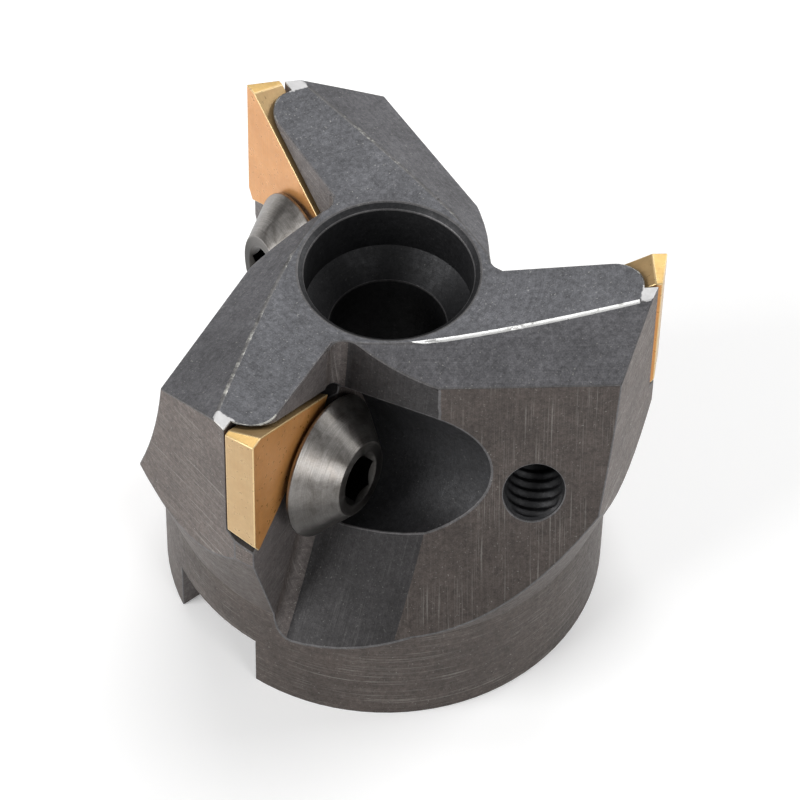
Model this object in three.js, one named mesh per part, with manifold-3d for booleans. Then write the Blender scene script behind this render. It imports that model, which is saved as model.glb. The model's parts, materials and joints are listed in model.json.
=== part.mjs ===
// Indexable face mill: a three-arm steel cutter body that fits on a pilot arbor, three triangular
// carbide inserts in open V pockets, and three cone-headed screws that clamp them.
// Millimetres, +Z up. The origin is the centre of the back face, which seats on the arbor. +Z points
// along the arbor axis to the cutting end, and X runs along the drive slot in the back face.

import * as THREE from 'three';
import { mergeVertices } from 'three/addons/utils/BufferGeometryUtils.js';
import Module from 'manifold-3d';

// ---------------------------------------------------------------- driving dimensions

const deg = Math.PI / 180;
const armCount = 3;
const firstArmAzimuth = -37.4;          // degrees from the drive slot to the first arm
const roundSegments = 96;
const fitGap = 0.3;                     // clearance round each piece that is a separate body
const reach = 40;                       // how far a cutting tool runs past the body
const weldDistance = 1e-5;              // vertices nearer to each other than this are one

// body of revolution
const hubRadius = 21.0;
const hubTop = 11.8;                    // the cone starts here
const coneTop = 23.1;                   // and meets the outer wall here
const bodyRadius = 24.6;
const rimHeight = 39.2;                 // height of the face at the counterbore
const faceRise = 1.15;                  // the face is dished: it rises this much to the outer wall

// bore through the axis
const pilotRadius = 11.0;
const pilotDepth = 18.0;
const throughRadius = 5.4;
const seatBottom = 31.5;                // conical seat of the arbor screw
const seatTop = 33.9;
const counterboreRadius = 7.7;
const rimRadius = 8.3;
const chamfer = 0.5;

// drive slot across the back face
const slotWidth = 11.1;
const slotDepth = 6.0;

// arm, in its own frame: x radial, y towards the direction of rotation
const leadingFace = -0.4;               // y of the flat leading face
const trailingTop = [-12.1, 36.95];     // y and z of the top of the trailing wall
const trailingLean = 6.8;               // degrees from upright at that edge
const trailingRadius = 61.0;            // hollow of the trailing wall
const bevelInner = [2.5, -8.6, 39.25];  // two points on the upper edge of the trailing bevel
const bevelOuter = [22.4, -5.35, 40.1];
const reliefDistance = 23.4;            // flat behind the insert, measured from the axis
const reliefAzimuth = -23.5;

// core wall of the chip gullet, a hollow and crowned surface that starts beside the counterbore
const coreDistance = 8.98;              // x of the wall at the top, on the arm's own axis
const coreTurn = 0.104;                 // growth of x per mm of y
const coreCrown = 0.0184;               // fall of x per square mm of y
const coreLean = 0.052;                 // growth of x per mm of depth
const coreHollow = 0.0111;              // growth of x per square mm of depth
const coreWidth = 16;                   // the next arm's trailing wall takes over before this y
const coreFloor = 4;                    // the wall has run out of the hub above this height
const coreFillet = 1.8;                 // between the wall and the leading face

// insert: an equilateral triangle with a wiper facet on each corner
const tipRadius = 25.0;                 // x of the outer cutting edge
const tipHeight = 41.65;                // z of the sharp corner that the facet cuts off
const insertSide = 16.5;
const insertThickness = 3.18;
const insertClearance = 11 * deg;
const facetCut = 0.8;                   // length that a facet takes off the edge square to it
const seatRelief = 0.8;                 // radius of the relief hole in the pocket's inner corner

// body round the nose of the insert
const noseRound = 2.65;
const noseRoundCentre = [20.1, -3.05];
const noseRoundBottom = 36.75;

// clamp screw
const screwTilt = 8.75 * deg;           // towards the insert
const screwCentre = [14.0, 1.33, 27.3]; // centre of the head's large end, in the arm's frame
const headLargeRadius = 6.77;
const headSmallRadius = 3.56;
const headRim = 0.35;
const headHeight = 3.6;
const headEdge = 0.15;                  // chamfer on both rims of the head
const socketAcross = 4.0;
const socketDepth = 2.6;
const socketCone = 0.9;                 // drill point under the socket
const shankRadius = 2.35;
const shankLength = 11.0;
const tappedRadius = 2.78;
const tappedLength = 19.0;
const accessRadius = 7.5;               // bore that the head sits in, coaxial with the screw
const accessLength = 34.0;              // it runs out through the hub and the trailing wall ahead

// ---------------------------------------------------------------- solids

const wasm = await Module();
wasm.setup();

function toSolid(geometry) {
  const bare = geometry.clone();
  bare.deleteAttribute('normal');
  bare.deleteAttribute('uv');
  const merged = mergeVertices(bare, weldDistance);
  const mesh = new wasm.Mesh({
    numProp: 3,
    vertProperties: new Float32Array(merged.attributes.position.array),
    triVerts: new Uint32Array(merged.index.array),
  });
  return new wasm.Manifold(mesh);
}

function toGeometry(solid) {
  const mesh = solid.getMesh();
  const geometry = new THREE.BufferGeometry();
  geometry.setAttribute('position', new THREE.BufferAttribute(mesh.vertProperties, 3));
  geometry.setIndex(new THREE.BufferAttribute(mesh.triVerts, 1));
  geometry.computeVertexNormals();
  return geometry;
}

// Turns a closed outline of [radius, height] points, listed anticlockwise, round the Z axis.
function turned(outline) {
  const points = [...outline, outline[0]].map(([r, z]) => new THREE.Vector2(r, z));
  return new THREE.LatheGeometry(points, roundSegments).rotateX(Math.PI / 2);
}

// Cylinder of the given radius between two distances along an axis.
function rod(origin, direction, radius, from, to, segments = roundSegments) {
  const geometry = new THREE.CylinderGeometry(radius, radius, to - from, segments);
  geometry.translate(0, (from + to) / 2, 0);
  return alongAxis(geometry, origin, direction);
}

// Moves a geometry built along +Y so that it runs from origin along direction.
function alongAxis(geometry, origin, direction) {
  const turn = new THREE.Quaternion().setFromUnitVectors(new THREE.Vector3(0, 1, 0), direction);
  return geometry.applyQuaternion(turn).translate(origin.x, origin.y, origin.z);
}

// Closed solid between two convex outlines with the same number of corners.
function loft(front, back) {
  const count = front.length;
  const positions = [...front, ...back].flatMap((point) => point.toArray());
  const index = [];
  for (let i = 0; i < count; i += 1) {
    const next = (i + 1) % count;
    index.push(i, next, count + i);
    index.push(next, count + next, count + i);
  }
  for (let i = 1; i < count - 1; i += 1) {
    index.push(0, i + 1, i);
    index.push(count, count + i, count + i + 1);
  }
  const geometry = new THREE.BufferGeometry();
  geometry.setAttribute('position', new THREE.Float32BufferAttribute(positions, 3));
  geometry.setIndex(index);
  return geometry;
}

// Large block that holds everything on the positive side of a plane.
function halfSpace(point, normal) {
  const block = new THREE.BoxGeometry(4 * reach, 2 * reach, 4 * reach);
  block.translate(0, reach, 0);
  return alongAxis(block, point, normal.clone().normalize());
}

// ---------------------------------------------------------------- body blank

function bodyBlank() {
  return toSolid(turned([
    [pilotRadius + chamfer, 0],
    [hubRadius, 0],
    [hubRadius, hubTop],
    [bodyRadius, coneTop],
    [bodyRadius, rimHeight + faceRise],
    [rimRadius, rimHeight],
    [counterboreRadius, rimHeight - chamfer],
    [counterboreRadius, seatTop],
    [throughRadius, seatBottom],
    [throughRadius, pilotDepth],
    [pilotRadius, pilotDepth],
    [pilotRadius, chamfer],
  ]));
}

function driveSlot() {
  const box = new THREE.BoxGeometry(3 * hubRadius, slotWidth, 2 * slotDepth);
  return toSolid(box);
}

// ---------------------------------------------------------------- cuts round one arm

// Horizontal distance of the core wall at a y and a height. The fillet blends it into the leading
// face: it adds to the distance over the first stretch of y.
function coreWall(y, z, filletAngle) {
  const depth = rimHeight - z;
  const slope = coreLean + 2 * coreHollow * depth;
  const fillet = coreFillet * (1 - Math.sin(filletAngle)) * Math.hypot(1, slope);
  return coreDistance + coreTurn * y - coreCrown * y * y + coreLean * depth
    + coreHollow * depth * depth + fillet;
}

// Everything beyond the core wall.
function coreCut() {
  const filletSteps = 9;
  const wallSteps = 8;
  const heightSteps = 16;
  const steps = filletSteps + wallSteps;
  const block = new THREE.BoxGeometry(1, 1, 1, 1, steps, heightSteps);
  const position = block.attributes.position;
  const wallStart = leadingFace + coreFillet;
  for (let i = 0; i < position.count; i += 1) {
    const step = (position.getY(i) + 0.5) * steps;
    const angle = Math.min(step / filletSteps, 1) * (Math.PI / 2);
    const along = Math.max(step - filletSteps, 0) / wallSteps;
    const y = wallStart - coreFillet * Math.cos(angle) + along * (coreWidth - wallStart);
    const z = coreFloor + (position.getZ(i) + 0.5) * reach;
    const x = position.getX(i) < 0 ? coreWall(y, z, angle) : reach;
    position.setXYZ(i, x, y, z);
  }
  return toSolid(block);
}

// Hollow trailing wall of an arm.
function trailingCut() {
  const [y, z] = trailingTop;
  const lean = trailingLean * deg;
  const centreY = y - trailingRadius * Math.cos(lean);
  const centreZ = z + trailingRadius * Math.sin(lean);
  const arcStart = -90 * deg;
  const arcEnd = 5 * deg;
  const shape = new THREE.Shape();
  shape.moveTo(centreY - reach, centreZ + reach);
  shape.lineTo(centreY - reach, centreZ - trailingRadius);
  shape.lineTo(centreY, centreZ - trailingRadius);
  shape.absarc(centreY, centreZ, trailingRadius, arcStart, arcEnd, false);
  shape.lineTo(centreY + trailingRadius, centreZ + reach);
  const length = 4 * reach;
  const prism = new THREE.ExtrudeGeometry(shape, { depth: length, bevelEnabled: false, curveSegments: 24 });
  const axes = new THREE.Matrix4().makeBasis(
    new THREE.Vector3(0, 1, 0), new THREE.Vector3(0, 0, 1), new THREE.Vector3(1, 0, 0),
  );
  prism.translate(0, 0, -length / 2).applyMatrix4(axes);
  return toSolid(prism);
}

// Bevel between the face and the trailing wall. It flattens steadily towards the outer end.
function bevelCut() {
  const lengthSteps = 30;
  const heightSteps = 10;
  const thickness = 12;
  const lowest = -2;                    // heights of the cut, from the top of the trailing wall
  const highest = 6;
  const start = -9;                     // and its length along the arm
  const end = 30;
  const [lowY, lowZ] = trailingTop;
  const block = new THREE.BoxGeometry(1, 1, 1, lengthSteps, 1, heightSteps);
  const position = block.attributes.position;
  for (let i = 0; i < position.count; i += 1) {
    const x = start + (end - start) * (position.getX(i) + 0.5);
    const share = Math.max(0, (x - bevelInner[0]) / (bevelOuter[0] - bevelInner[0]));
    const highY = bevelInner[1] + share * (bevelOuter[1] - bevelInner[1]);
    const highZ = bevelInner[2] + share * (bevelOuter[2] - bevelInner[2]);
    const slope = (highY - lowY) / (highZ - lowZ);
    const rise = lowest + (highest - lowest) * (position.getZ(i) + 0.5);
    const back = position.getY(i) > 0 ? 0 : thickness;
    position.setXYZ(i, x, lowY + slope * rise - back, lowZ + rise);
  }
  return toSolid(block);
}

// The whole gullet: everything ahead of this arm's leading face that lies beyond the core wall or
// behind the next arm.
function gulletCut() {
  const ahead = toSolid(halfSpace(new THREE.Vector3(0, leadingFace, 0), new THREE.Vector3(0, 1, 0)));
  const behindNext = trailingCut().add(bevelCut()).rotate([0, 0, 360 / armCount]);
  return coreCut().add(behindNext.intersect(ahead));
}

function reliefFlat() {
  const azimuth = reliefAzimuth * deg;
  const normal = new THREE.Vector3(Math.cos(azimuth), Math.sin(azimuth), 0);
  const beyond = toSolid(halfSpace(normal.clone().multiplyScalar(reliefDistance), normal));
  const aboveCone = toSolid(halfSpace(new THREE.Vector3(0, 0, hubTop), new THREE.Vector3(0, 0, 1)));
  return beyond.intersect(aboveCone);
}

// ---------------------------------------------------------------- insert and its pocket

// The six sides of the insert seen from the front, as lines in x and z: a cutting edge and a wiper
// facet for each corner. Each line is a point and the direction into the insert.
function insertLines() {
  const centreX = tipRadius - insertSide / (2 * Math.sqrt(3));
  const centreZ = tipHeight - insertSide / 2;
  const edgeDistance = insertSide / (2 * Math.sqrt(3));
  const facetDistance = insertSide / 2 - facetCut;
  const lines = [];
  for (let corner = 0; corner < 3; corner += 1) {
    const turn = (corner * 2 * Math.PI) / 3;
    for (const [angle, distance] of [[0, edgeDistance], [Math.PI / 2, facetDistance]]) {
      const outX = Math.cos(angle + turn);
      const outZ = Math.sin(angle + turn);
      lines.push({
        x: centreX + distance * outX,
        z: centreZ + distance * outZ,
        inX: -outX,
        inZ: -outZ,
      });
    }
  }
  return lines;
}

function crossing(a, b, inset) {
  const da = a.inX * a.x + a.inZ * a.z + inset;
  const db = b.inX * b.x + b.inZ * b.z + inset;
  const det = a.inX * b.inZ - a.inZ * b.inX;
  return [(da * b.inZ - db * a.inZ) / det, (a.inX * db - b.inX * da) / det];
}

// Outline made by the given lines, all moved inwards by inset, at height y above the seat side.
function outlineAt(lines, inset, y) {
  return lines.map((line, i) => {
    const [x, z] = crossing(line, lines[(i + 1) % lines.length], inset);
    return new THREE.Vector3(x, y, z);
  });
}

function insertSolid() {
  const lines = insertLines();
  const front = outlineAt(lines, 0, 0);
  const back = outlineAt(lines, insertThickness * Math.tan(insertClearance), -insertThickness);
  return toSolid(loft(front, back));
}

// The pocket follows the insert's two inner sides and is open outwards and in front.
function pocketCut() {
  const [, , topEdge, innerFacet, lowEdge] = insertLines();
  const open = { x: reach, z: 0, inX: -1, inZ: 0 };
  const lines = [open, topEdge, innerFacet, lowEdge];
  const flank = Math.tan(insertClearance);
  const frontY = 2;
  const backY = -insertThickness - fitGap;
  const front = outlineAt(lines, -fitGap - frontY * flank, frontY);
  const back = outlineAt(lines, -fitGap - backY * flank, backY);
  const corner = outlineAt([topEdge, lowEdge], 0, 0)[0];
  const relief = rod(corner, new THREE.Vector3(0, 1, 0), seatRelief, backY, frontY, 24);
  return toSolid(loft(front, back)).add(toSolid(relief));
}

// Rounded corner of the face beside the insert's nose.
function noseCut() {
  const [x, y] = noseRoundCentre;
  const seat = -insertThickness - fitGap;
  const shape = new THREE.Shape();
  shape.moveTo(x, reach);
  shape.lineTo(x, y + noseRound);
  shape.absarc(x, y, noseRound, Math.PI / 2, 0, true);
  shape.lineTo(x + noseRound, seat);
  shape.lineTo(reach, seat);
  shape.lineTo(reach, reach);
  const prism = new THREE.ExtrudeGeometry(shape, { depth: reach, bevelEnabled: false, curveSegments: 10 });
  return toSolid(prism.translate(0, 0, noseRoundBottom));
}

// ---------------------------------------------------------------- clamp screw

const screwAxis = new THREE.Vector3(
  Math.sin(screwTilt) / 2, Math.cos(screwTilt), (Math.sin(screwTilt) * Math.sqrt(3)) / 2,
);
const screwOrigin = new THREE.Vector3(...screwCentre);

function screwSolid() {
  const profile = [
    [0, -shankLength],
    [shankRadius - chamfer, -shankLength],
    [shankRadius, chamfer - shankLength],
    [shankRadius, 0],
    [headLargeRadius - headEdge, 0],
    [headLargeRadius, headEdge],
    [headLargeRadius, headRim],
    [headSmallRadius + headEdge, headHeight - headEdge],
    [headSmallRadius, headHeight],
    [0, headHeight],
  ].map(([r, y]) => new THREE.Vector2(r, y));
  const head = new THREE.LatheGeometry(profile, roundSegments / 2);
  const overlap = 0.05;                 // by which a cut runs past the one before
  const cornerRadius = socketAcross / Math.sqrt(3);
  const socket = new THREE.CylinderGeometry(cornerRadius, cornerRadius, socketDepth + overlap, 6);
  socket.translate(0, headHeight - (socketDepth - overlap) / 2, 0);
  const cone = new THREE.ConeGeometry(socketAcross / 2, socketCone, roundSegments / 4);
  cone.rotateX(Math.PI).translate(0, headHeight - socketDepth + overlap - socketCone / 2, 0);
  const solid = toSolid(head).subtract(toSolid(socket).add(toSolid(cone)));
  return toSolid(alongAxis(toGeometry(solid), screwOrigin, screwAxis));
}

function screwHoles() {
  const rise = leadingFace - screwCentre[1] + accessRadius * Math.sin(screwTilt);
  const floor = rise / Math.cos(screwTilt);
  const tapped = rod(screwOrigin, screwAxis, tappedRadius, -tappedLength, floor + 1, roundSegments / 2);
  const access = rod(screwOrigin, screwAxis, accessRadius, floor, accessLength);
  return toSolid(tapped).add(toSolid(access));
}

// ---------------------------------------------------------------- pieces

function cutterBody() {
  const cuts = [gulletCut(), reliefFlat(), pocketCut(), noseCut(), screwHoles()];
  let solid = bodyBlank().subtract(driveSlot());
  for (let arm = 0; arm < armCount; arm += 1) {
    const azimuth = firstArmAzimuth + (arm * 360) / armCount;
    for (const cut of cuts) {
      solid = solid.subtract(cut.rotate([0, 0, azimuth]));
    }
  }
  return solid;
}

const blackOxide = new THREE.MeshStandardMaterial({ color: 0x4a4748, roughness: 0.6, metalness: 0.6 });
const titaniumNitride = new THREE.MeshStandardMaterial({ color: 0xc7924e, roughness: 0.35, metalness: 0.9 });
const screwSteel = new THREE.MeshStandardMaterial({ color: 0x6f6a66, roughness: 0.4, metalness: 0.9 });

function piece(name, solid, material) {
  const mesh = new THREE.Mesh(toGeometry(solid), material);
  mesh.name = name;
  return mesh;
}

const faceMill = new THREE.Group();
faceMill.add(piece('cutter_body', cutterBody(), blackOxide));

const insert = insertSolid();
const screw = screwSolid();
for (let arm = 0; arm < armCount; arm += 1) {
  const holder = new THREE.Group();
  holder.rotation.z = (firstArmAzimuth + (arm * 360) / armCount) * deg;
  holder.add(piece(`insert_${arm + 1}`, insert, titaniumNitride));
  holder.add(piece(`clamp_screw_${arm + 1}`, screw, screwSteel));
  faceMill.add(holder);
}

export default faceMill;
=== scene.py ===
import json
import math

import bmesh
import bpy
from mathutils import Matrix, Vector
from mathutils.bvhtree import BVHTree


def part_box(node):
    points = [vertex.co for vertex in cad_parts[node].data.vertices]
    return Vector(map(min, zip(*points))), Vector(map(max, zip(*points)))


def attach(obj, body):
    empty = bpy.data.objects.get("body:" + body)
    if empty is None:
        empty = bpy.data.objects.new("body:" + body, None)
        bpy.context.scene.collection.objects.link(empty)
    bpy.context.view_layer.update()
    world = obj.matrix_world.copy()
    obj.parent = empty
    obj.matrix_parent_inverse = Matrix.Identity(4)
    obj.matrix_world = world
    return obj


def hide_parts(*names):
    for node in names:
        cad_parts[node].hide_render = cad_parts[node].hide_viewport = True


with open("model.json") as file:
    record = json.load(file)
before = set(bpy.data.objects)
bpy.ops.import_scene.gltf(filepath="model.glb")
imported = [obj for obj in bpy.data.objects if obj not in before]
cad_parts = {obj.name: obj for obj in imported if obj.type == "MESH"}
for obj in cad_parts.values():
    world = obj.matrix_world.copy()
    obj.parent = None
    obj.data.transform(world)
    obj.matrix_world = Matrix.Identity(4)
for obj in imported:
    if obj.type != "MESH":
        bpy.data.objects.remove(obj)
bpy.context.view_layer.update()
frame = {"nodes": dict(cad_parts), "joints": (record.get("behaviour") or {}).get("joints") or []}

# Looks of the face mill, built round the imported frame. Lengths are in millimetres in this script and
# become metres where a mesh is made. An arm's own frame has x radial, y towards the direction of
# rotation and z along the arbor axis.

MM = 0.001
ARMS = 3
FIRST_ARM = math.radians(-37.4)

# body
BACK_FACE = 0.0
SLOT_HALF = 5.55
SLOT_DEPTH = 6.0
HUB_RADIUS = 21.0
PILOT_RADIUS = 11.0
TOP_EDGE = 38.9                 # the edges of the dished face lie above this height
RIM_RADIUS = 8.3                # the dished face starts here, at RIM_HEIGHT, and rises outwards
RIM_HEIGHT = 39.2
FACE_SLOPE = 1.15 / (24.6 - RIM_RADIUS)
TRAILING_TOP = (-12.1, 36.95)   # y and z where an arm's hollow trailing wall meets the bevel over it
TRAILING_LEAN = math.radians(6.8)
TRAILING_RADIUS = 61.0
TRAILING_EDGE = ((2.5, -8.6), (22.4, -5.35))    # x and y of the ends of that bevel's upper edge
NOSE_START = (16.0, -4.5)       # the corner of an arm's face by its insert has x and y above these
LEADING_FACE = -0.4
RELIEF_AZIMUTH = math.radians(-23.5)
TAPPED_RADIUS = 2.78
TAPPED_FACETS = 48              # flats that stand for the tapped hole's round wall
ACCESS_RADIUS = 7.5

# clamp screw, measured along its axis from the large end of the head
SCREW_CENTRE = Vector((14.0, 1.33, 27.3))
HEAD_LARGE = 6.77
HEAD_SMALL = 3.56
HEAD_RIM = 0.35
HEAD_HEIGHT = 3.6
SOCKET_ACROSS = 4.0
SOCKET_DEPTH = 2.6
SHANK_LENGTH = 11.0
SHANK_RADIUS = 2.35
THREAD_PITCH = 1.0
THREAD_DEPTH = 0.5

# width of the rounding on an edge
BODY_ROUNDING = 0.12
TRAILING_ROUNDING = (0.22, 0.18, 0.18)          # on the trailing edge of each arm
INSERT_ROUNDING = 0.11

# how far the oxide is rubbed off an edge, from 0 to 1
TRAILING_WEAR = (0.95, 0.40, 0.50)              # on the trailing edge of each arm
NOSE_WEAR = 0.55
TOP_WEAR = 0.22
SIDE_WEAR = 0.20

# how each machined surface looks: warmth from 0, blue-grey, to 1, brown, and painted_shading, how much
# darker or brighter it is painted for the light and shade that fall on it: painted shade in the bore,
# holes and pockets, on the core and trailing walls and on the hub, painted light on the bevels and
# relief flats
FINISH_AND_SHADING = {
    "back": (0.4, 1.0), "slot": (0.7, 0.9), "bore": (0.0, 0.20), "access": (0.0, 0.22),
    "tapped": (0.1, 0.2), "outer": (0.9, 1.0), "hub": (1.0, 0.60), "top": (0.0, 0.90),
    "relief": (0.6, 1.06), "leading": (0.8, 0.85), "pocket": (0.5, 0.6), "trailing": (0.9, 0.60),
    "bevel": (0.1, 1.12), "core": (0.3, 0.31), "fillet": (0.7, 0.80), "edge": (0.2, 0.80),
}
TURNED_FLATS = ("top", "back")
CENTRE_RING = 0.02              # radius of a ring small enough to close an end
# painted shade inside the screw's hexagon socket
SOCKET_PAINTED_SHADE = 0.2
# painted shade inside the tapped holes
HOLE_PAINTED_SHADE = 0.2

WELD = 1e-6                     # metres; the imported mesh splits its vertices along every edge
SLIVER = 1e-5                   # metres; a face narrower than this has no normal to go by
FLAT = math.radians(0.6)        # faces that turn less than this from one another become one face
SHARP = math.radians(12.5)      # edges that turn less than this belong to one curved surface
NEAR = 0.1                      # a face whose middle is this close to a surface is on it
FACING = 0.9                    # a face looks along a direction if the dot product is above this

LOW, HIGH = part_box("cutter_body")
MIDDLE_HEIGHT = (LOW.z + HIGH.z) / 2 / MM


def arm_turn(arm):
    """Matrix from an arm's own frame to the part's."""
    return Matrix.Rotation(FIRST_ARM + arm * math.tau / ARMS, 4, "Z")


def add_object(name, data):
    piece = bpy.data.objects.new(name, data)
    bpy.context.scene.collection.objects.link(piece)
    return piece


# ---------------------------------------------------------------- camera

def add_camera():
    """Long lens above the cutting end, with the drive slot's near mouth to the lower left."""
    azimuth = math.radians(-40.48)
    elevation = math.radians(50.66)
    roll = math.radians(1.31)
    distance = 0.4135
    pan = Vector((0.001549, 0.013154))
    focal_length = 191.92
    forward = Vector((0, math.cos(elevation), -math.sin(elevation)))
    level = Vector((1, 0, 0))
    upright = Vector((0, math.sin(elevation), math.cos(elevation)))
    right = level * math.cos(roll) + upright * math.sin(roll)
    up = upright * math.cos(roll) - level * math.sin(roll)
    place = right * pan.x + up * pan.y - forward * distance
    axes = Matrix((right, up, -forward)).transposed().to_4x4()
    axes.translation = place
    data = bpy.data.cameras.new("camera")
    data.sensor_width = 36
    data.lens = focal_length
    data.clip_start = 0.01
    camera = add_object("camera", data)
    camera.matrix_world = Matrix.Rotation(azimuth, 4, "Z") @ axes
    bpy.context.scene.camera = camera


# ---------------------------------------------------------------- shader building

class Shader:
    """A material and short ways to add the nodes that its looks are worked out by."""

    def __init__(self, name):
        self.material = bpy.data.materials.new(name)
        self.material.use_nodes = True
        self.tree = self.material.node_tree
        self.surface = self.tree.nodes["Principled BSDF"]
        place = self.node("TexCoord").outputs["Object"]
        self.place = self.vector("MULTIPLY", place, (1 / MM, 1 / MM, 1 / MM))

    def feed(self, socket, value):
        """Gives an input its value, or links another node's output to it."""
        if isinstance(value, bpy.types.NodeSocket):
            self.tree.links.new(value, socket)
        else:
            socket.default_value = value

    def node(self, kind, options=None, inputs=None):
        node = self.tree.nodes.new("ShaderNode" + kind)
        for name, value in (options or {}).items():
            setattr(node, name, value)
        for name, value in (inputs or {}).items():
            self.feed(node.inputs[name], value)
        return node

    def set(self, **inputs):
        """Feeds the surface's own inputs; an underscore stands for a space in a name."""
        for name, value in inputs.items():
            self.feed(self.surface.inputs[name.replace("_", " ")], value)

    def vector(self, operation, a, b):
        return self.node("VectorMath", {"operation": operation}, {0: a, 1: b}).outputs[0]

    def math(self, operation, a, b=0.0):
        return self.node("Math", {"operation": operation}, {0: a, 1: b}).outputs[0]

    def attribute(self, name, output="Fac"):
        """A value that add_values has stored on the mesh."""
        return self.node("Attribute", {"attribute_name": name}).outputs[output]

    def noise(self, size, detail=3.0, roughness=0.55, distortion=0.0):
        """Noise from 0 to 1 with features of about size millimetres."""
        inputs = {"Vector": self.place, "Scale": 1 / size, "Detail": detail,
                  "Roughness": roughness, "Distortion": distortion}
        return self.node("TexNoise", inputs=inputs).outputs[0]

    def marks(self, width, drift=0.06):
        """Noise that changes over width millimetres across the tool marks, and slowly along them."""
        slow = self.vector("MULTIPLY", self.place, (drift, drift, drift))
        level = self.vector("MULTIPLY", self.place, (1, 1, 0))
        radius = self.node("VectorMath", {"operation": "LENGTH"}, {0: level}).outputs["Value"]
        radius = self.math("MULTIPLY", radius, self.attribute("turned"))
        across = self.math("ADD", self.attribute("across"), radius)
        inputs = {"Vector": slow, "W": self.math("DIVIDE", across, width),
                  "Scale": 1.0, "Detail": 2.0, "Roughness": 0.6}
        return self.node("TexNoise", {"noise_dimensions": "4D"}, inputs).outputs[0]

    def range(self, value, low, high, start=0.0, end=1.0):
        """Runs from start to end as the value runs from low to high, and stays level beyond them."""
        inputs = {"Value": value, "From Min": low, "From Max": high, "To Min": start, "To Max": end}
        return self.node("MapRange", {"clamp": True}, inputs).outputs[0]

    def mix(self, share, first, second):
        """The first colour where share is 0 and the second where it is 1."""
        node = self.node("Mix", {"data_type": "RGBA"})
        self.feed(node.inputs[0], share)
        self.feed(node.inputs[6], first)
        self.feed(node.inputs[7], second)
        return node.outputs[2]

    def scale(self, colour, factor):
        """The colour times a number that changes over the surface."""
        return self.vector("MULTIPLY", colour, self.node("CombineXYZ", inputs={
            "X": factor, "Y": factor, "Z": factor}).outputs[0])

    def vary(self, colour, pattern, depth):
        """The colour made darker and brighter, by up to depth, as a noise pattern says."""
        return self.scale(colour, self.range(pattern, 0.3, 0.7, 1 - depth, 1 + depth))

    def bump(self, height, distance, normal=None):
        """Bump of a height from 0 to 1, distance millimetres deep."""
        inputs = {"Height": height, "Distance": distance * MM, "Strength": 1.0}
        node = self.node("Bump", inputs=inputs)
        if normal is not None:
            self.feed(node.inputs["Normal"], normal)
        return node.outputs[0]


def grey(value, warmth):
    """Linear colour near grey that leans to brown by its warmth."""
    return (value * (1 + warmth), value, value * (1 - warmth), 1)


# ---------------------------------------------------------------- materials

def black_oxide():
    """Blackened steel: bluish on the turned face, browner on the milled walls, bright on worn edges,
    with each surface painted darker or brighter for the light and shade that fall on it.
    """
    bluish = (0.106, 0.107, 0.116, 1)
    brownish = (0.112, 0.090, 0.079, 1)
    rubbed_steel = (0.46, 0.455, 0.42, 1)
    bare_steel = (0.72, 0.72, 0.71, 1)
    ground_steel = (0.55, 0.545, 0.545, 1)
    shader = Shader("black_oxide")
    mottle = shader.noise(6.0, detail=5, roughness=0.6)
    cloud = shader.noise(1.3, detail=4, roughness=0.6, distortion=0.4)
    blotch = shader.noise(0.42, detail=3, roughness=0.65)
    speckle = shader.noise(0.14, detail=2, roughness=0.7)
    marks = shader.marks(0.11, drift=0.12)
    colour = shader.mix(shader.attribute("warm"), bluish, brownish)
    # painted light and shade: each surface's colour is scaled by its painted_shading
    colour = shader.scale(colour, shader.attribute("painted_shading"))
    patterns = ((mottle, 0.16), (cloud, 0.14), (blotch, 0.26), (speckle, 0.24), (marks, 0.10))
    for pattern, depth in patterns:
        colour = shader.vary(colour, pattern, depth)

    rubbed = rubbed_edges(shader)
    faint = shader.math("MULTIPLY", shader.attribute("worn"), 0.25)
    bright = shader.math("MAXIMUM", scratches(shader, marks), faint)
    bright = shader.math("MAXIMUM", bright, rubbed)
    bare = shader.math("MULTIPLY", shader.range(shader.attribute("worn"), 0.7, 0.9), rubbed)
    ground = shader.math("MULTIPLY", ground_patch(shader), shader.attribute("ground"))
    colour = shader.mix(bright, colour, rubbed_steel)
    colour = shader.mix(bare, colour, bare_steel)
    colour = shader.mix(ground, colour, ground_steel)

    grain = shader.noise(0.5, detail=4, roughness=0.65)
    roughness = shader.range(grain, 0.3, 0.7, 0.44, 0.62)
    roughness = shader.math("SUBTRACT", roughness, shader.math("MULTIPLY", bright, 0.15))
    normal = shader.bump(marks, 0.012)
    normal = shader.bump(blotch, 0.010, normal)
    normal = shader.bump(speckle, 0.006, normal)
    shader.set(Base_Color=colour, Roughness=roughness, Normal=normal, Metallic=0.55)
    return shader.material


def scratches(shader, marks):
    """How bright the oxide is scratched: streaks along the tool marks of the brown walls, and specks."""
    scratched = shader.range(shader.noise(3.5, detail=3), 0.38, 0.58)
    scratched = shader.math("MULTIPLY", scratched, shader.attribute("warm"))
    streaks = shader.math("MULTIPLY", shader.range(marks, 0.56, 0.70), scratched)
    streaks = shader.math("MULTIPLY", streaks, 0.45)
    specks = shader.range(shader.noise(0.20, detail=1, roughness=0.5), 0.68, 0.80)
    specks = shader.math("MULTIPLY", specks, 0.50)
    # the scratches are dimmed with the painted shade of each surface
    return shader.math("MULTIPLY", shader.math("MAXIMUM", streaks, specks), shader.attribute("painted_shading"))


def rubbed_edges(shader):
    """1 where a worn edge is rubbed bright, in runs and dots that grow with its wear."""
    handled = shader.range(shader.noise(5.0, detail=2), 0.35, 0.65, 0.6, 1.3)
    rubbed = shader.math("MULTIPLY", shader.attribute("worn"), handled)
    rubbed = shader.math("SUBTRACT", rubbed, shader.noise(0.8, detail=4, roughness=0.7))
    return shader.range(rubbed, -0.08, 0.12)


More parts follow.
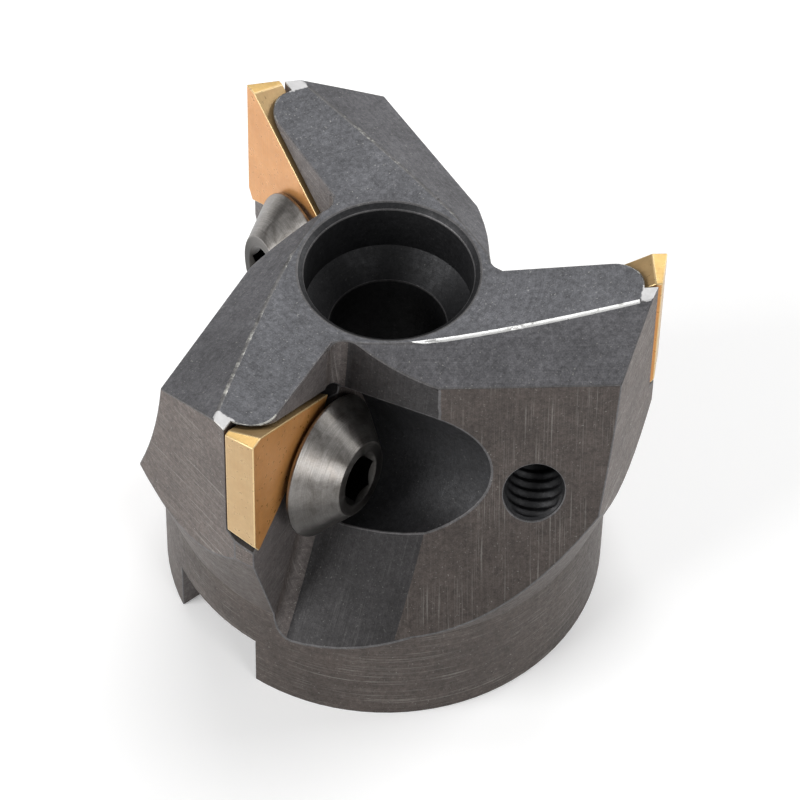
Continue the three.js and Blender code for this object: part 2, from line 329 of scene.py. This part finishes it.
def ground_patch(shader):
    """1 on the small bright flat that is ground on the face at each arm's outer end."""
    centre = (23.15, -4.25, 0.0)
    lean = math.radians(-10)
    half_width = 0.80
    half_length = 0.98
    soft = 0.12
    place = shader.node("Mapping", {"vector_type": "TEXTURE"}, {
        "Vector": shader.attribute("arm", "Vector"), "Location": centre, "Rotation": (0, 0, lean)})
    place = shader.node("SeparateXYZ", inputs={"Vector": place.outputs[0]})
    ragged = shader.range(shader.noise(0.4, detail=4), 0.0, 1.0, -0.2, 0.2)
    inside = []
    for axis, half in (("X", half_width), ("Y", half_length)):
        far = shader.math("ABSOLUTE", place.outputs[axis])
        far = shader.math("ADD", far, ragged)
        inside.append(shader.range(far, half - soft, half, 1.0, 0.0))
    return shader.math("MULTIPLY", *inside)


def titanium_nitride():
    """Gold coating on ground carbide: orange on the two large faces, paler on the flanks, the wiper
    facets and along the cutting edges. The deeper orange of the two large faces is painted shade: the
    same coating as it looks where it reflects less light."""
    facet_gold = (0.70, 0.46, 0.17, 1)
    edge_gold = (0.66, 0.48, 0.24, 1)
    shader = Shader("titanium_nitride")
    cloud = shader.range(shader.noise(2.2, detail=4, roughness=0.6), 0.35, 0.65)
    grains = shader.noise(0.35, detail=2, roughness=0.5)
    marks = shader.marks(0.16)
    flank = shader.mix(cloud, (0.43, 0.28, 0.13, 1), (0.47, 0.32, 0.155, 1))
    # painted shade: the rake faces get a deeper orange copy of the gold
    rake = shader.mix(cloud, (0.54, 0.24, 0.065, 1), (0.60, 0.28, 0.085, 1))
    colour = shader.mix(shader.attribute("rake"), flank, rake)
    colour = shader.mix(shader.attribute("facet"), colour, facet_gold)
    colour = shader.mix(shader.attribute("worn"), colour, edge_gold)
    colour = shader.vary(colour, grains, 0.04)
    colour = shader.vary(colour, marks, 0.04)
    roughness = shader.range(shader.noise(0.6, detail=3), 0.3, 0.7, 0.26, 0.38)
    normal = shader.bump(marks, 0.003)
    shader.set(Base_Color=colour, Roughness=roughness, Normal=normal, Metallic=0.55)
    return shader.material


def screw_steel():
    """Turned steel with rings of tool marks, painted darker lower down for shade and brighter higher up
    for a highlight.
    """
    low = 0.5                   # heights above SCREW_CENTRE; the colour is painted from dark at low to bright at high: painted shade lower down and a painted highlight higher up
    high = 3.8
    shader = Shader("screw_steel")
    marks = shader.marks(0.10, drift=0.3)
    stain = shader.noise(1.6, detail=5, roughness=0.65, distortion=0.6)
    speckle = shader.noise(0.12, detail=2, roughness=0.7)
    height = shader.node("SeparateXYZ", inputs={"Vector": shader.place}).outputs["Z"]
    height = shader.math("SUBTRACT", height, SCREW_CENTRE.z)
    colour = shader.mix(shader.range(stain, 0.38, 0.62), grey(0.13, 0.08), grey(0.21, 0.05))
    colour = shader.scale(colour, shader.attribute("painted_shading"))
    # painted shade and painted highlight: the colour scales with height
    colour = shader.scale(colour, shader.range(height, low, high, 0.42, 1.45))
    colour = shader.vary(colour, marks, 0.16)
    colour = shader.vary(colour, speckle, 0.12)
    roughness = shader.range(stain, 0.3, 0.7, 0.28, 0.44)
    normal = shader.bump(marks, 0.008)
    normal = shader.bump(speckle, 0.003, normal)
    shader.set(Base_Color=colour, Roughness=roughness, Normal=normal, Metallic=1.0)
    return shader.material


# ---------------------------------------------------------------- faces of a mesh

def add_values(mesh, name, domain, values, kind="FLOAT"):
    """Stores one number, or one vector, for each face, corner or point of the mesh."""
    layer = mesh.attributes.new(name, kind, domain)
    key = "vector" if kind == "FLOAT_VECTOR" else "value"
    numbers = [part for value in values for part in value] if key == "vector" else values
    layer.data.foreach_set(key, numbers)


def welded_copy(node):
    """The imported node's mesh with its vertices joined and each flat stretch as one face."""
    bm = bmesh.new()
    bm.from_mesh(frame["nodes"][node].data)
    bmesh.ops.remove_doubles(bm, verts=bm.verts, dist=WELD)
    join_slivers(bm)
    bmesh.ops.dissolve_limit(
        bm, angle_limit=FLAT, use_dissolve_boundaries=False, verts=bm.verts, edges=bm.edges)
    return bm


def join_slivers(bm):
    """Joins each face narrower than SLIVER to the one beyond its longest edge."""
    longest = []
    for face in bm.faces:
        edge = max(face.edges, key=lambda side: side.calc_length())
        if face.calc_area() < SLIVER * edge.calc_length() / 2:
            longest.append(edge)
    bmesh.ops.dissolve_edges(bm, edges=list(dict.fromkeys(longest)), use_verts=False)


def rounded_piece(name, bm, width_of, wear_at, material):
    """New piece from bm with its convex edges rounded, each by width_of(edge) millimetres. The faces
    of the rounding get wear_at(their place) in the attribute "worn"."""
    layer = bm.edges.layers.float.new("bevel_weight_edge")
    widths = [width_of(edge) if edge.calc_face_angle_signed(0) > SHARP else 0.0
              for edge in bm.edges]
    widest = max(widths)
    for edge, width in zip(bm.edges, widths):
        edge[layer] = width / widest
    mesh = bpy.data.meshes.new(name)
    bm.to_mesh(mesh)
    bm.free()
    mesh.materials.append(material)
    mesh.materials.append(material)         # second slot, which tells the rounding from the rest
    piece = add_object(name, mesh)
    rounding = piece.modifiers.new("rounding", "BEVEL")
    rounding.limit_method = "WEIGHT"
    rounding.width = widest * MM
    rounding.segments = 2
    rounding.use_clamp_overlap = False
    rounding.material = 1
    apply_modifiers(piece)
    mesh = piece.data
    worn = [float(face.material_index) for face in mesh.polygons]
    mark_sharp(mesh, worn)
    add_values(mesh, "worn", "FACE", [
        wear_at(face.center / MM) if share else 0.0 for face, share in zip(mesh.polygons, worn)])
    for face in mesh.polygons:
        face.material_index = 0
    mesh.materials.pop(index=1)
    piece.modifiers.new("flat_faces", "WEIGHTED_NORMAL").keep_sharp = True
    apply_modifiers(piece)
    return piece


def apply_modifiers(piece):
    """Makes what the piece's modifiers give its own mesh."""
    evaluated = piece.evaluated_get(bpy.context.evaluated_depsgraph_get())
    mesh = bpy.data.meshes.new_from_object(evaluated)
    piece.modifiers.clear()
    piece.data = mesh


def mark_sharp(mesh, worn):
    """Keeps the hollow edges sharp, where no rounding lies between the two faces."""
    mesh.shade_smooth()
    sides = {}
    for face in mesh.polygons:
        for key in face.edge_keys:
            sides.setdefault(key, []).append(face)
    for edge in mesh.edges:
        faces = sides.get(edge.key, [])
        if len(faces) == 2 and not worn[faces[0].index] and not worn[faces[1].index]:
            edge.use_edge_sharp = faces[0].normal.angle(faces[1].normal, 0) > SHARP


# ---------------------------------------------------------------- cutter body

def screw_axis():
    """Direction of the clamp screw in its arm's own frame, from the joint that takes it out."""
    for joint in frame["joints"]:
        if joint["child"] == "clamp_screw_1":
            return (arm_turn(0).inverted() @ Vector(joint["axis"])).normalized()
    raise ValueError("the frame has no joint for clamp_screw_1")


AXIS = screw_axis()
RELIEF_NORMALS = [arm_turn(arm) @ Vector((math.cos(RELIEF_AZIMUTH), math.sin(RELIEF_AZIMUTH), 0))
                  for arm in range(ARMS)]
TRAILING_CENTRE = (TRAILING_TOP[0] - TRAILING_RADIUS * math.cos(TRAILING_LEAN),
                   TRAILING_TOP[1] + TRAILING_RADIUS * math.sin(TRAILING_LEAN))


def from_axis(point):
    """Distance from the clamp screw's axis, and the direction out from it, in an arm's frame."""
    offset = point - SCREW_CENTRE
    out = offset - AXIS * offset.dot(AXIS)
    return out.length, out.normalized()


def bored_surface(point, normal):
    """Name of the screw hole's surface that the point is on, in an arm's frame, or None."""
    distance, out = from_axis(point)
    if normal.dot(out) > -FACING:
        return None
    if abs(distance - ACCESS_RADIUS) < NEAR:
        return "access"
    if abs(distance - TAPPED_RADIUS) < NEAR:
        return "tapped"
    return None


def turned_surface(point, normal):
    """Name of the surface round the arbor axis that the point is on, or None. The slot and the
    relief flats are milled, but they are told here too, in the part's own frame."""
    out = Vector((point.x, point.y, 0))
    radius = out.length
    outwards = normal.dot(out.normalized())
    if normal.z < -FACING and point.z < BACK_FACE + NEAR:
        return "back"
    if point.z < SLOT_DEPTH + NEAR and abs(normal.x) < NEAR and abs(point.y) < SLOT_HALF + NEAR:
        return "slot"
    if outwards < -0.3 and radius < PILOT_RADIUS + 1:
        return "bore"
    if normal.z < -FACING and radius < PILOT_RADIUS:
        return "bore"
    if normal.z > FACING and abs(point.z - RIM_HEIGHT - FACE_SLOPE * (radius - RIM_RADIUS)) < NEAR:
        return "top"
    # the lower half of the outer cylinder is the hub, which the table paints darker for the shade that
    # falls on it
    if outwards > FACING and radius > HUB_RADIUS - NEAR:
        return "hub" if point.z < MIDDLE_HEIGHT else "outer"
    if any(normal.dot(side) > 0.99 for side in RELIEF_NORMALS):
        return "relief"
    return None


def milled_surface(point, normal):
    """Name of the arm's own surface that the point is on, in the arm's frame, or None."""
    forward = point.y - LEADING_FACE        # 0 on the leading face, and negative in the pocket
    if normal.y > 0.95 and point.x > 0:
        return "leading" if forward > -0.5 else "pocket"
    if 0.25 < normal.y <= 0.95 and point.x > 0 and -0.2 < forward < 3.5:
        return "fillet"
    if normal.y < -0.2 and normal.z > 0.6 and point.z > TRAILING_TOP[1] - NEAR:
        return "bevel"
    distance = math.hypot(point.y - TRAILING_CENTRE[0], point.z - TRAILING_CENTRE[1])
    if normal.y < -0.6 and abs(distance - TRAILING_RADIUS) < NEAR:
        return "trailing"
    return None


def surface_of(point, normal):
    """Name of the surface that a face belongs to, and the arm in whose frame its marks run."""
    azimuth = math.atan2(point.y, point.x) - FIRST_ARM
    nearest = round(azimuth / (math.tau / ARMS)) % ARMS
    for arm in range(ARMS):
        back = arm_turn(arm).inverted()
        name = bored_surface(back @ point, back @ normal)
        if name:
            return name, arm
    name = turned_surface(point, normal)
    if name:
        return name, nearest
    for step in range(ARMS):
        arm = (nearest + step) % ARMS
        back = arm_turn(arm).inverted()
        name = milled_surface(back @ point, back @ normal)
        if name:
            return name, arm
    return "core", nearest


def across_marks(name, point, local):
    """Place across the tool marks of a surface, in millimetres. A turned flat's material adds its
    radius to it, because that changes inside a face."""
    if name in TURNED_FLATS:
        return 0.0
    if name in ("access", "tapped"):
        return (local - SCREW_CENTRE).dot(AXIS)
    if name in ("trailing", "leading", "pocket", "fillet"):
        return local.x
    if name in ("bevel", "core"):
        return local.y
    return point.z


def on_trailing_edge(point):
    """Whether a point, in an arm's frame, is on the edge between its face and its trailing bevel."""
    (start_x, start_y), (end_x, end_y) = TRAILING_EDGE
    along = (point.x - start_x) / (end_x - start_x)
    line = start_y + along * (end_y - start_y)
    return point.z > TOP_EDGE and 0 <= along < 1 and abs(point.y - line) < 0.4


def trailing_edge(edge):
    """The arm whose trailing edge this edge of the mesh is part of, or None."""
    middle = (edge.verts[0].co + edge.verts[1].co) / (2 * MM)
    for arm in range(ARMS):
        back = arm_turn(arm).inverted().to_3x3()
        point = back @ middle
        line = (back @ (edge.verts[1].co - edge.verts[0].co)).normalized()
        if on_trailing_edge(point) and abs(line.x) > 0.9:
            return arm
    return None


def edge_width(edge):
    """Width of the worn rounding on an edge of the body."""
    arm = trailing_edge(edge)
    return BODY_ROUNDING if arm is None else TRAILING_ROUNDING[arm]


def edge_wear(place):
    """How far the oxide is rubbed off a rounded edge, from 0 to 1."""
    if place.z <= TOP_EDGE:
        return SIDE_WEAR
    for arm in range(ARMS):
        point = arm_turn(arm).inverted() @ place
        if on_trailing_edge(point):
            return TRAILING_WEAR[arm]
        if point.x > NOSE_START[0] and point.y > NOSE_START[1]:
            return NOSE_WEAR
    return TOP_WEAR


def store_finish_and_shading(mesh):
    """Stores what the body's material reads: each face's finish and painted light and shade, and each
    corner's place across the tool marks and in its arm's own frame."""
    finishes_and_shading = []
    tops = []
    turned = []
    across = [0.0] * len(mesh.loops)
    local = [Vector()] * len(mesh.loops)
    worn = mesh.attributes["worn"].data
    for face in mesh.polygons:
        name, arm = surface_of(face.center / MM, face.normal)
        finishes_and_shading.append(FINISH_AND_SHADING["edge" if worn[face.index].value else name])
        tops.append(float(name == "top"))
        turned.append(float(name in TURNED_FLATS))
        back = arm_turn(arm).inverted()
        for loop in face.loop_indices:
            point = mesh.vertices[mesh.loops[loop].vertex_index].co / MM
            local[loop] = back @ point
            across[loop] = across_marks(name, point, local[loop])
    add_values(mesh, "warm", "FACE", [warm for warm, _ in finishes_and_shading])
    add_values(mesh, "painted_shading", "FACE", [painted_shading for _, painted_shading in finishes_and_shading])
    add_values(mesh, "ground", "FACE", tops)
    add_values(mesh, "turned", "FACE", turned)
    add_values(mesh, "across", "CORNER", across)
    add_values(mesh, "arm", "CORNER", local, "FLOAT_VECTOR")


def cutter_body(material):
    """The one-piece body of the cutter, with rounded edges."""
    bm = welded_copy("cutter_body")
    piece = rounded_piece("body_shell", bm, edge_width, edge_wear, material)
    store_finish_and_shading(piece.data)
    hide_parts("cutter_body")
    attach(piece, "cutter")


# ---------------------------------------------------------------- inserts

def store_sides(mesh, back):
    """Stores what the insert's material reads: which of its faces are rakes, the two large ones, and
    which are wiper facets, and each corner's place across the grinding marks."""
    facets = []
    rakes = []
    across = [0.0] * len(mesh.loops)
    for face in mesh.polygons:
        normal = back @ face.normal
        turn = math.degrees(math.atan2(normal.z, normal.x)) % 120
        flank = abs(normal.y) < 0.5
        facets.append(float(flank and abs(turn - 90) < 10))
        rakes.append(float(not flank))
        for loop in face.loop_indices:
            point = back @ mesh.vertices[mesh.loops[loop].vertex_index].co / MM
            across[loop] = point.y if flank else point.x
    add_values(mesh, "facet", "FACE", facets)
    add_values(mesh, "rake", "FACE", rakes)
    add_values(mesh, "across", "CORNER", across)


def insert(arm, material):
    """Ground and coated insert with honed cutting edges."""
    node = f"insert_{arm + 1}"
    bm = welded_copy(node)
    piece = rounded_piece(
        f"coated_insert_{arm + 1}", bm, lambda edge: INSERT_ROUNDING, lambda place: 1.0, material)
    store_sides(piece.data, arm_turn(arm).inverted())
    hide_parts(node)
    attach(piece, node)


# ---------------------------------------------------------------- turned pieces

class Rings:
    """Mesh of rings round an axis. Each ring is a list of one (radius, height) for each step, and has a
    painted_shading, how much darker or brighter its surface is painted for shade or light."""

    def __init__(self, steps):
        self.steps = steps
        self.rows = []
        self.painted_shadings = []

    def add(self, row, painted_shading=1.0):
        self.rows.append(row)
        self.painted_shadings.append(painted_shading)

    def circle(self, radius, height, painted_shading=1.0):
        self.add([(radius, height)] * self.steps, painted_shading)

    def outline(self, corners, painted_shading=1.0):
        """Circles along a polyline of (radius, height, rounding)."""
        for radius, height in round_corners(corners):
            self.circle(radius, height, painted_shading)

    def angle(self, step):
        return step * math.tau / self.steps

    def hexagon(self, height_of, painted_shading):
        """Ring round a hexagon of the socket's size, at height_of(radius)."""
        row = []
        for step in range(self.steps):
            off_flat = self.angle(step) % math.radians(60) - math.radians(30)
            radius = SOCKET_ACROSS / 2 / math.cos(off_flat)
            row.append((radius, height_of(radius)))
        self.add(row, painted_shading)

    def points(self):
        """Points of all the rings in metres, in the rings' own frame."""
        points = []
        for row in self.rows:
            for step, (radius, height) in enumerate(row):
                angle = self.angle(step)
                points.append(Vector((radius * math.cos(angle), radius * math.sin(angle), height)) * MM)
        return points

    def distances(self):
        """How far each point's ring is from the first one, along the outline."""
        distances = []
        run = 0.0
        before = self.rows[0][0]
        for row in self.rows:
            run += math.hypot(row[0][0] - before[0], row[0][1] - before[1])
            before = row[0]
            distances += [run] * self.steps
        return distances

    def faces(self, closed):
        """Quads between the rings. Closed joins the last ring to the first, and else both get ends."""
        faces = []
        count = len(self.rows)
        for row in range(count if closed else count - 1):
            after = (row + 1) % count
            for step in range(self.steps):
                beside = (step + 1) % self.steps
                faces.append((row * self.steps + step, row * self.steps + beside,
                              after * self.steps + beside, after * self.steps + step))
        if not closed:
            last = (count - 1) * self.steps
            faces.append(tuple(reversed(range(self.steps))))
            faces.append(tuple(range(last, last + self.steps)))
        return faces

    def build(self, name, matrix, material, closed):
        """Makes the piece, with matrix from the rings' frame to the part's."""
        mesh = bpy.data.meshes.new(name)
        mesh.from_pydata([matrix @ point for point in self.points()], [], self.faces(closed))
        mesh.materials.append(material)
        mesh.shade_smooth()
        mesh.set_sharp_from_angle(angle=math.radians(35))
        add_values(mesh, "across", "POINT", self.distances())
        add_values(mesh, "painted_shading", "POINT", [painted_shading for painted_shading in self.painted_shadings for _ in range(self.steps)])
        return add_object(name, mesh)


def round_corners(corners):
    """Points of a polyline of (x, y, radius) whose corners are arcs of those radii."""
    arc_steps = 4
    points = []
    for i, (x, y, radius) in enumerate(corners):
        here = Vector((x, y))
        if radius == 0 or i in (0, len(corners) - 1):
            points.append(here)
            continue
        before = (Vector(corners[i - 1][:2]) - here).normalized()
        after = (Vector(corners[i + 1][:2]) - here).normalized()
        half = before.angle(after) / 2
        reach = radius / math.tan(half)
        centre = here + (before + after).normalized() * (radius / math.sin(half))
        start = here + before * reach - centre
        end = here + after * reach - centre
        for step in range(arc_steps + 1):
            turned = start.lerp(end, step / arc_steps).normalized() * radius
            points.append(centre + turned)
    return [(point.x, point.y) for point in points]


def thread_depth(height, angle, low, high):
    """Depth of a V thread at a place on its cylinder, from 0 at the crest to 1 at the root. It runs
    out over half a pitch at both ends."""
    cut_off = 0.125             # share of the V that is flat at the crest, and again at the root
    phase = (height / THREAD_PITCH - angle / math.tau) % 1
    sharp = 1 - abs(2 * phase - 1)
    groove = min(1.0, max(0.0, (1 + 2 * cut_off) * sharp - cut_off))
    run_out = THREAD_PITCH / 2
    fade = min(1.0, max(0.0, (height - low) / run_out), max(0.0, (high - height) / run_out))
    return groove * fade


def screw_place(arm):
    """Matrix from the screw's own frame, +Z along it and out of the hole, to the part's."""
    side = AXIS.cross(Vector((1, 0, 0))).normalized()
    across = side.cross(AXIS)
    axes = Matrix((across, side, AXIS)).transposed().to_4x4()
    axes.translation = SCREW_CENTRE * MM
    return arm_turn(arm) @ axes


def shank_and_head(rings):
    """The screw's shank from its chamfered tip up, with its thread, and the head's cone."""
    rings_a_turn = 10
    tip = -SHANK_LENGTH
    tip_ring = 0.5
    chamfer = 0.5
    low = tip + 0.1 + chamfer
    high = -1.2
    rings.circle(CENTRE_RING, tip)
    rings.outline([(tip_ring, tip, 0), (SHANK_RADIUS - chamfer, tip, 0.1),
                   (SHANK_RADIUS - 0.1, tip + 0.4, 0)])
    rows = round((high - low) / THREAD_PITCH * rings_a_turn)
    for row in range(rows + 1):
        height = low + (high - low) * row / rows
        depths = [thread_depth(height, rings.angle(step), tip, high) for step in range(rings.steps)]
        rings.add([(SHANK_RADIUS - THREAD_DEPTH * depth, height) for depth in depths])
    rings.outline([(SHANK_RADIUS, high + 0.1, 0), (SHANK_RADIUS, 0, 0.12), (HEAD_LARGE, 0, 0.15),
                   (HEAD_LARGE, HEAD_RIM, 0.12), (HEAD_SMALL, HEAD_HEIGHT, 0.22)])


def socket(rings):
    """The head's small end and the hexagon socket in it, with a countersunk mouth."""
    mouth = SOCKET_ACROSS / math.sqrt(3) + 0.2
    slope = 0.75
    end_ring = 2.7
    floor = HEAD_HEIGHT - SOCKET_DEPTH
    # painted shade: the small end's rings are painted darker, and the socket darker still
    rings.circle(HEAD_SMALL - 0.2, HEAD_HEIGHT, 0.5)
    rings.outline([(end_ring, HEAD_HEIGHT, 0), (mouth + 0.05, HEAD_HEIGHT, 0)], 0.5)
    rings.circle(mouth - 0.02, HEAD_HEIGHT - 0.03, 0.6)
    rings.hexagon(lambda radius: HEAD_HEIGHT - (mouth - radius) * slope, 0.25)
    rings.hexagon(lambda radius: HEAD_HEIGHT - (mouth - radius) * slope - 0.05, SOCKET_PAINTED_SHADE)
    rings.hexagon(lambda radius: floor + 0.05, SOCKET_PAINTED_SHADE)
    rings.hexagon(lambda radius: floor, SOCKET_PAINTED_SHADE)
    rings.circle(SOCKET_ACROSS / 2 - 0.08, floor, SOCKET_PAINTED_SHADE)
    rings.circle(CENTRE_RING, floor - 0.7, SOCKET_PAINTED_SHADE)


def clamp_screw(arm, material):
    """Cone-headed screw with a hexagon socket and a cut thread."""
    rings = Rings(96)
    shank_and_head(rings)
    socket(rings)
    node = f"clamp_screw_{arm + 1}"
    piece = rings.build(f"threaded_screw_{arm + 1}", screw_place(arm), material, closed=False)
    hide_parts(node)
    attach(piece, node)


def hole_ends(arm, solid, rings):
    """Height at which each step's line beside the tapped hole's wall comes out of the body."""
    inside = -4.0
    margin = 0.2
    matrix = screw_place(arm)
    down = matrix.to_3x3() @ Vector((0, 0, -1))
    ends = []
    for step in range(rings.steps):
        angle = rings.angle(step)
        beside = Vector((math.cos(angle), math.sin(angle), 0)) * (TAPPED_RADIUS + 0.15)
        hit = solid.ray_cast(matrix @ ((beside + Vector((0, 0, inside))) * MM), down)
        ends.append(inside - hit[3] / MM + margin)
    return ends


def tapped_thread(arm, solid, material):
    """The cut thread of a tapped hole, a thin sleeve inside the hole's wall. Its outer end follows the
    arm's trailing wall."""
    rings = Rings(72)
    wall = TAPPED_RADIUS * math.cos(math.pi / TAPPED_FACETS) - 0.01
    crest = wall - 0.32
    root = wall - 0.03
    chamfer_depth = 0.5
    rings_a_turn = 9
    start = -0.85
    ends = hole_ends(arm, solid, rings)
    rows = round((start - min(ends)) / THREAD_PITCH * rings_a_turn)
    for row in range(rows + 1):
        ring = []
        for step, end in enumerate(ends):
            height = start + (end - start) * row / rows
            depth = thread_depth(height, rings.angle(step), end, start)
            chamfer = max(0.0, 1 - (height - end) / chamfer_depth)
            ring.append((crest + (root - crest) * max(depth, chamfer), height))
        # painted shade inside the hole: every ring gets HOLE_PAINTED_SHADE
        rings.add(ring, HOLE_PAINTED_SHADE)
    rings.add([(wall, end) for end in ends], HOLE_PAINTED_SHADE)
    rings.circle(wall, start, HOLE_PAINTED_SHADE)
    piece = rings.build(f"tapped_thread_{arm + 1}", screw_place(arm), material, closed=True)
    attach(piece, "cutter")


# ---------------------------------------------------------------- studio

def add_floor():
    """Wide pale floor at the height of the back face."""
    mesh = bpy.data.meshes.new("floor")
    half = 3.0
    corners = [(-half, -half, 0), (half, -half, 0), (half, half, 0), (-half, half, 0)]
    mesh.from_pydata(corners, [], [(0, 1, 2, 3)])
    floor = add_object("floor", mesh)
    shader = Shader("floor")
    shader.set(Base_Color=(0.93, 0.93, 0.93, 1), Roughness=0.9)
    shader.set(Emission_Color=(1, 1, 1, 1), Emission_Strength=0.18)
    mesh.materials.append(shader.material)


def add_light(name, azimuth, elevation, size, power):
    """Square soft light towards the part's middle from a direction in degrees; size in metres, power
    in watts."""
    distance = 1.2
    swing = Matrix.Rotation(math.radians(azimuth), 4, "Z")
    lift = Matrix.Rotation(-math.radians(elevation), 4, "Y")
    target = Vector((0, 0, MIDDLE_HEIGHT * MM))
    place = target + swing @ lift @ Vector((distance, 0, 0))
    data = bpy.data.lights.new(name, "AREA")
    data.size = size
    data.energy = power
    light = add_object(name, data)
    light.location = place
    light.rotation_euler = (target - place).to_track_quat("-Z", "Y").to_euler()


def add_world():
    """Even white light from everywhere."""
    world = bpy.data.worlds.new("studio")
    world.use_nodes = True
    background = world.node_tree.nodes["Background"]
    background.inputs["Color"].default_value = (1, 1, 1, 1)
    background.inputs["Strength"].default_value = 0.2
    bpy.context.scene.world = world


add_camera()

body_look = black_oxide()
insert_look = titanium_nitride()
screw_look = screw_steel()
body_solid = BVHTree.FromObject(frame["nodes"]["cutter_body"], bpy.context.evaluated_depsgraph_get())
cutter_body(body_look)
for arm_number in range(ARMS):
    insert(arm_number, insert_look)
    clamp_screw(arm_number, screw_look)
    tapped_thread(arm_number, body_solid, body_look)

add_floor()
add_world()
add_light("left_softbox", azimuth=165, elevation=25, size=0.8, power=14)
add_light("right_softbox", azimuth=-12, elevation=24, size=0.8, power=8.5)
add_light("back_softbox", azimuth=50, elevation=55, size=0.8, power=6)
add_light("front_softbox", azimuth=-95, elevation=22, size=0.45, power=3.6)
bpy.context.scene.view_settings.view_transform = "Standard"
